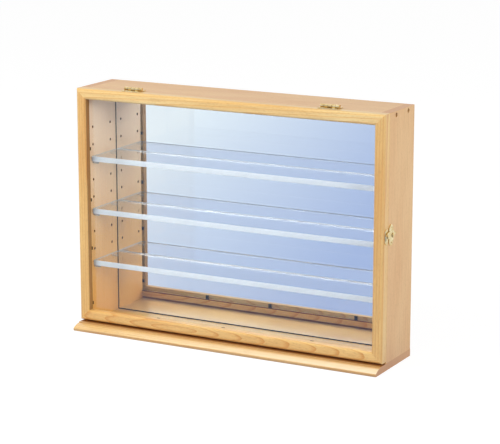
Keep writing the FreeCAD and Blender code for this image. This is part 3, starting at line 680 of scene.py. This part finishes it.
class DISPLAY_CASE_OT_shelves(bpy.types.Operator):
    """Make the clear shelves with their ground edges, and finish their pegs"""
    bl_idname = "display_case.shelves"
    bl_label = "Shelves and pegs"

    def execute(self, context):
        colours, sizes = context.scene.case_colours, context.scene.case_sizes
        acrylic = clear("clear_acrylic", colours.acrylic, ACRYLIC_IOR, haze=0.03, passes=0.75)
        milky = {"Transmission Weight": 0.6, "IOR": ACRYLIC_IOR}
        # Acrylic sawn and ground: frosted white, with a grit that is drawn coarse enough to show
        edge = speckled(
            "ground_acrylic_edge", colours.ground_edge, colours.acrylic, grain=0.7, rough=(0.4, 0.6), sockets=milky)
        for name in ("shelf_lower", "shelf_middle", "shelf_upper"):
            low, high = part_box(name)
            vertices, faces = rounded_plate(low, high, through=Z, corner=sizes.shelf_corner, arris=sizes.shelf_arris)
            edges = len(faces) - 2
            new_piece(f"{name}_slab", vertices, faces, [acrylic, edge], body="case", replaced=[name],
                      faces_in_second=edges)
        # Moulded clear plastic: smooth and a little milky
        plastic = speckled(
            "clear_moulded_plastic", colours.peg, colours.acrylic, grain=2, rough=(0.1, 0.2), sockets=milky)
        finish_nodes(plastic, "shelf_pegs")
        return {"FINISHED"}


class DISPLAY_CASE_OT_hinges(bpy.types.Operator):
    """Polish the hinges"""
    bl_idname = "display_case.hinges"
    bl_label = "Hinges"

    def execute(self, context):
        metal = brass()
        for side in ("left", "right"):
            finish_nodes(metal, *(f"{side}_hinge_{part}" for part in ("case_leaf", "door_leaf", "pin")))
        return {"FINISHED"}


class DISPLAY_CASE_OT_catch(bpy.types.Operator):
    """Polish the catch and turn its rivet and stud"""
    bl_idname = "display_case.catch"
    bl_label = "Catch"

    def execute(self, context):
        sizes = context.scene.case_sizes
        metal = brass()
        finish_nodes(metal, "catch_plate", "catch_hook", "catch_keeper")
        for node, body, shank in (("catch_rivet", "case", sizes.rivet_shank), ("catch_stud", "door", sizes.stud_shank)):
            low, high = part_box(node)
            head = (high.y - low.y) / 2
            tall = high.x - low.x
            crown = sizes.button_height
            # A button head: a quarter of an ellipse on the shank
            bend = np.linspace(0, math.pi / 2, 10)[:-1]
            dome = [(head * math.cos(a), tall - crown * (1 - math.sin(a))) for a in bend]
            flat = 0.05 * head
            profile = [(shank, 0), (shank, tall - crown)] + dome + [(flat, tall)]
            vertices, faces = turned(profile)
            place = np.array([low.x, (low.y + high.y) / 2, (low.z + high.z) / 2])
            vertices = vertices @ facing_matrix(X, 1) + place
            new_piece(f"{node}_turned", vertices, faces, [metal], body, replaced=[node], smooth=True)
        return {"FINISHED"}


class DISPLAY_CASE_OT_screws(bpy.types.Operator):
    """Make the screws with their cross recesses"""
    bl_idname = "display_case.screws"
    bl_label = "Screws"

    def execute(self, context):
        colours = context.scene.case_colours
        metal = brass()
        # Oiled steel: nearly black, with a dull shine in patches
        steel = speckled(
            "oiled_dark_steel", colours.steel, colours.enamel, grain=1.5, rough=(0.35, 0.6), sockets={"Metallic": 1.0})
        # Node, body, axis, ends with a head, radius of head and shank and length in mm, metal and its slot.
        # A length of 0 stands for the length of the node's box.
        kinds = (
            ("hinge_case_screws", "case", Z, (1,), 1.7, 0.9, 0, metal, "brass"),
            ("hinge_door_screws", "door", Z, (1,), 1.7, 0.9, 0, metal, "brass"),
            ("catch_plate_screws", "case", X, (1,), 1.4, 0.75, 0, metal, "brass"),
            ("keeper_screws", "door", X, (1,), 1.4, 0.75, 0, metal, "brass"),
            ("carcass_screws", "case", X, (-1, 1), 2.4, 1.4, 20, steel, "steel"),
            ("base_screws", "case", Z, (-1,), 2.8, 1.5, 0, steel, "steel"),
        )
        for node, body, axis, signs, head, shank, long, material, slot in kinds:
            low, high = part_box(node)
            deep = long * MM or high[axis] - low[axis]
            vertices, quads, caps = cross_screw(head * MM, shank * MM, deep)
            shapes = []
            for sign in signs:
                end = high[axis] if sign > 0 else low[axis]
                turned_round = vertices @ facing_matrix(axis, sign)
                shapes += [turned_round + place for place in solid_middles(node, axis, [end])]
            vertices, faces = copies(shapes, quads, caps)
            new_piece(f"{node}_cross", vertices, faces, [material], body, replaced=[node], smooth=True)
        return {"FINISHED"}


def lamp(name, place, aim, power, wide):
    """A square soft lamp turned to a point."""
    data = bpy.data.lights.new(name, "AREA")
    data.energy = power
    data.shape = "SQUARE"
    data.size = wide
    item = bpy.data.objects.new(name, data)
    item.location = place
    item.rotation_euler = (Vector(aim) - Vector(place)).to_track_quat("-Z", "Y").to_euler()
    bpy.context.scene.collection.objects.link(item)
    return item


def by_view(tree, bounced, reflected, straight):
    """One shader for bounced light, one for reflections, and one for rays straight from the camera or through glass.

    The pane refracts what the mirror or a board sent on, so the counts of bounces tell such rays apart.
    """
    path = add(tree, "LightPath").outputs
    seen = add(tree, "Math", {0: path["Is Camera Ray"], 1: path["Is Transmission Ray"]}, operation="MAXIMUM").outputs[0]
    seen = add(tree, "Math", {0: seen, 1: path["Is Glossy Ray"]}, operation="MAXIMUM").outputs[0]
    fresh = add(tree, "Math", {0: path["Diffuse Depth"], 1: 0.5}, operation="LESS_THAN").outputs[0]
    seen = add(tree, "Math", {0: seen, 1: fresh}, operation="MULTIPLY").outputs[0]
    mirrored = add(tree, "Math", {0: path["Glossy Depth"], 1: 0.5}, operation="GREATER_THAN").outputs[0]
    view = add(tree, "MixShader", {0: mirrored, 1: straight.outputs[0], 2: reflected.outputs[0]})
    return add(tree, "MixShader", {0: seen, 1: bounced.outputs[0], 2: view.outputs[0]}).outputs[0]


def studio_paper(studio):
    """Pale blue floor paper. The mirror shows it as a painted glow. Seen straight on or through glass it is lit up to
    white.
    """
    material, tree = new_material("studio_paper")
    place = add(tree, "TexCoord").outputs["Object"]
    # Paler towards the left over about half a metre, and palest behind the case
    slope = add(tree, "VectorMath", {0: place, 1: (-2.0, 0.6, 0)}, operation="DOT_PRODUCT").outputs["Value"]
    left = add(tree, "MapRange", {"Value": slope, "From Min": -0.1, "From Max": 0.9}).outputs[0]
    depth = add(tree, "SeparateXYZ", {0: place}).outputs[Y]
    back = add(tree, "MapRange", {"Value": depth, "From Min": 0.0, "From Max": 0.1}).outputs[0]
    share = add(tree, "Math", {0: left, 1: back}, operation="MAXIMUM").outputs[0]
    tint = add(tree, "Mix", {
        0: share, 6: opaque(studio.paper_near), 7: opaque(studio.paper_far)}, data_type="RGBA").outputs[2]
    bounced = add(tree, "BsdfDiffuse", {"Color": tint})
    shadowed = add(tree, "BsdfDiffuse", {"Color": (0.2, 0.2, 0.2, 1)})
    faint = add(tree, "BsdfDiffuse", {"Color": (0.04, 0.04, 0.04, 1)})
    # Painted glow: reflections see the paper as light of its own, over a faint real shading
    reflected = add(tree, "AddShader", {0: faint.outputs[0], 1: add(tree, "Emission", {"Color": tint}).outputs[0]})
    glow = add(tree, "Emission", {"Color": (1, 1, 1, 1), "Strength": 0.9})
    white = add(tree, "AddShader", {0: shadowed.outputs[0], 1: glow.outputs[0]})
    add(tree, "OutputMaterial", {"Surface": by_view(tree, bounced, reflected, white)})
    return material


class DISPLAY_CASE_OT_stage(bpy.types.Operator):
    """Lay the paper, hang the lamps and set the camera"""
    bl_idname = "display_case.stage"
    bl_label = "Studio"

    def execute(self, context):
        scene, studio = context.scene, context.scene.case_studio
        reach = studio.paper_reach
        corners = reach * np.array([(-1, -1, 0), (1, -1, 0), (1, 1, 0), (-1, 1, 0)])
        mesh = bpy.data.meshes.new("floor_paper")
        mesh.from_pydata(corners.tolist(), [], [(0, 1, 2, 3)])
        mesh.materials.append(studio_paper(studio))
        floor = bpy.data.objects.new("floor_paper", mesh)
        scene.collection.objects.link(floor)

        key = lamp("key_lamp", studio.key_place, studio.lamp_aim, studio.key_power, studio.key_size)
        fill = lamp("fill_lamp", studio.fill_place, studio.lamp_aim, studio.fill_power, studio.fill_size)
        # The mirror shows the paper and not the lamps
        key.visible_glossy = fill.visible_glossy = False

        world = bpy.data.worlds.new("white_room")
        scene.world = world
        world.use_nodes = True
        tree = world.node_tree
        tree.nodes.clear()
        # Reflections see pale blue paper low in front of the case and white overhead and behind
        way = add(tree, "SeparateXYZ", {0: add(tree, "TexCoord").outputs["Generated"]})
        high = add(tree, "MapRange", {"Value": way.outputs[Z], "From Min": 0.1, "From Max": 0.6}).outputs[0]
        behind = add(tree, "MapRange", {"Value": way.outputs[Y], "From Min": -0.2, "From Max": 0.2}).outputs[0]
        share = add(tree, "Math", {0: high, 1: behind}, operation="MAXIMUM").outputs[0]
        tint = add(tree, "Mix", {
            0: share, 6: opaque(studio.paper_near), 7: (1, 1, 1, 1)}, data_type="RGBA").outputs[2]
        room = add(tree, "Background", {"Color": (1, 1, 1, 1), "Strength": studio.room_light})
        reflected = add(tree, "Background", {"Color": tint})
        white = add(tree, "Background", {"Color": (1, 1, 1, 1)})
        add(tree, "OutputWorld", {"Surface": by_view(tree, room, reflected, white)})

        data = bpy.data.cameras.new("camera")
        data.lens = studio.camera_lens
        data.sensor_width = 36
        data.clip_end = 50
        camera = bpy.data.objects.new("camera", data)
        camera.location = studio.camera_place
        camera.rotation_euler = (math.pi / 2 - studio.camera_dip, 0, studio.camera_turn)
        scene.collection.objects.link(camera)
        scene.camera = camera
        scene.view_settings.view_transform = "Standard"
        return {"FINISHED"}


class DISPLAY_CASE_PT_panel(bpy.types.Panel):
    """The case's pieces, colours, sizes and studio"""
    bl_idname = "DISPLAY_CASE_PT_panel"
    bl_label = "Display case"
    bl_space_type = "VIEW_3D"
    bl_region_type = "UI"
    bl_category = "Display case"

    def draw(self, context):
        for step in STEPS:
            self.layout.operator(step.bl_idname)
        for group in (context.scene.case_colours, context.scene.case_sizes, context.scene.case_studio):
            box = self.layout.box()
            for name in group.__annotations__:
                box.prop(group, name)


STEPS = (
    DISPLAY_CASE_OT_boards,
    DISPLAY_CASE_OT_door,
    DISPLAY_CASE_OT_mirror,
    DISPLAY_CASE_OT_glazing,
    DISPLAY_CASE_OT_shelves,
    DISPLAY_CASE_OT_hinges,
    DISPLAY_CASE_OT_catch,
    DISPLAY_CASE_OT_screws,
    DISPLAY_CASE_OT_stage,
)
CLASSES = (CaseColours, CaseSizes, CaseStudio, *STEPS, DISPLAY_CASE_PT_panel)


def register():
    """Add the classes, and their settings to every scene."""
    for item in CLASSES:
        bpy.utils.register_class(item)
    bpy.types.Scene.case_colours = PointerProperty(type=CaseColours)
    bpy.types.Scene.case_sizes = PointerProperty(type=CaseSizes)
    bpy.types.Scene.case_studio = PointerProperty(type=CaseStudio)


def unregister():
    """Take the settings and the classes away again."""
    del bpy.types.Scene.case_studio
    del bpy.types.Scene.case_sizes
    del bpy.types.Scene.case_colours
    for item in reversed(CLASSES):
        bpy.utils.unregister_class(item)


def main():
    """Register the add-on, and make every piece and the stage."""
    register()
    bpy.ops.display_case.boards()
    bpy.ops.display_case.door()
    bpy.ops.display_case.mirror()
    bpy.ops.display_case.glazing()
    bpy.ops.display_case.shelves()
    bpy.ops.display_case.hinges()
    bpy.ops.display_case.catch()
    bpy.ops.display_case.screws()
    bpy.ops.display_case.stage()


if __name__ == "__main__":
    main()
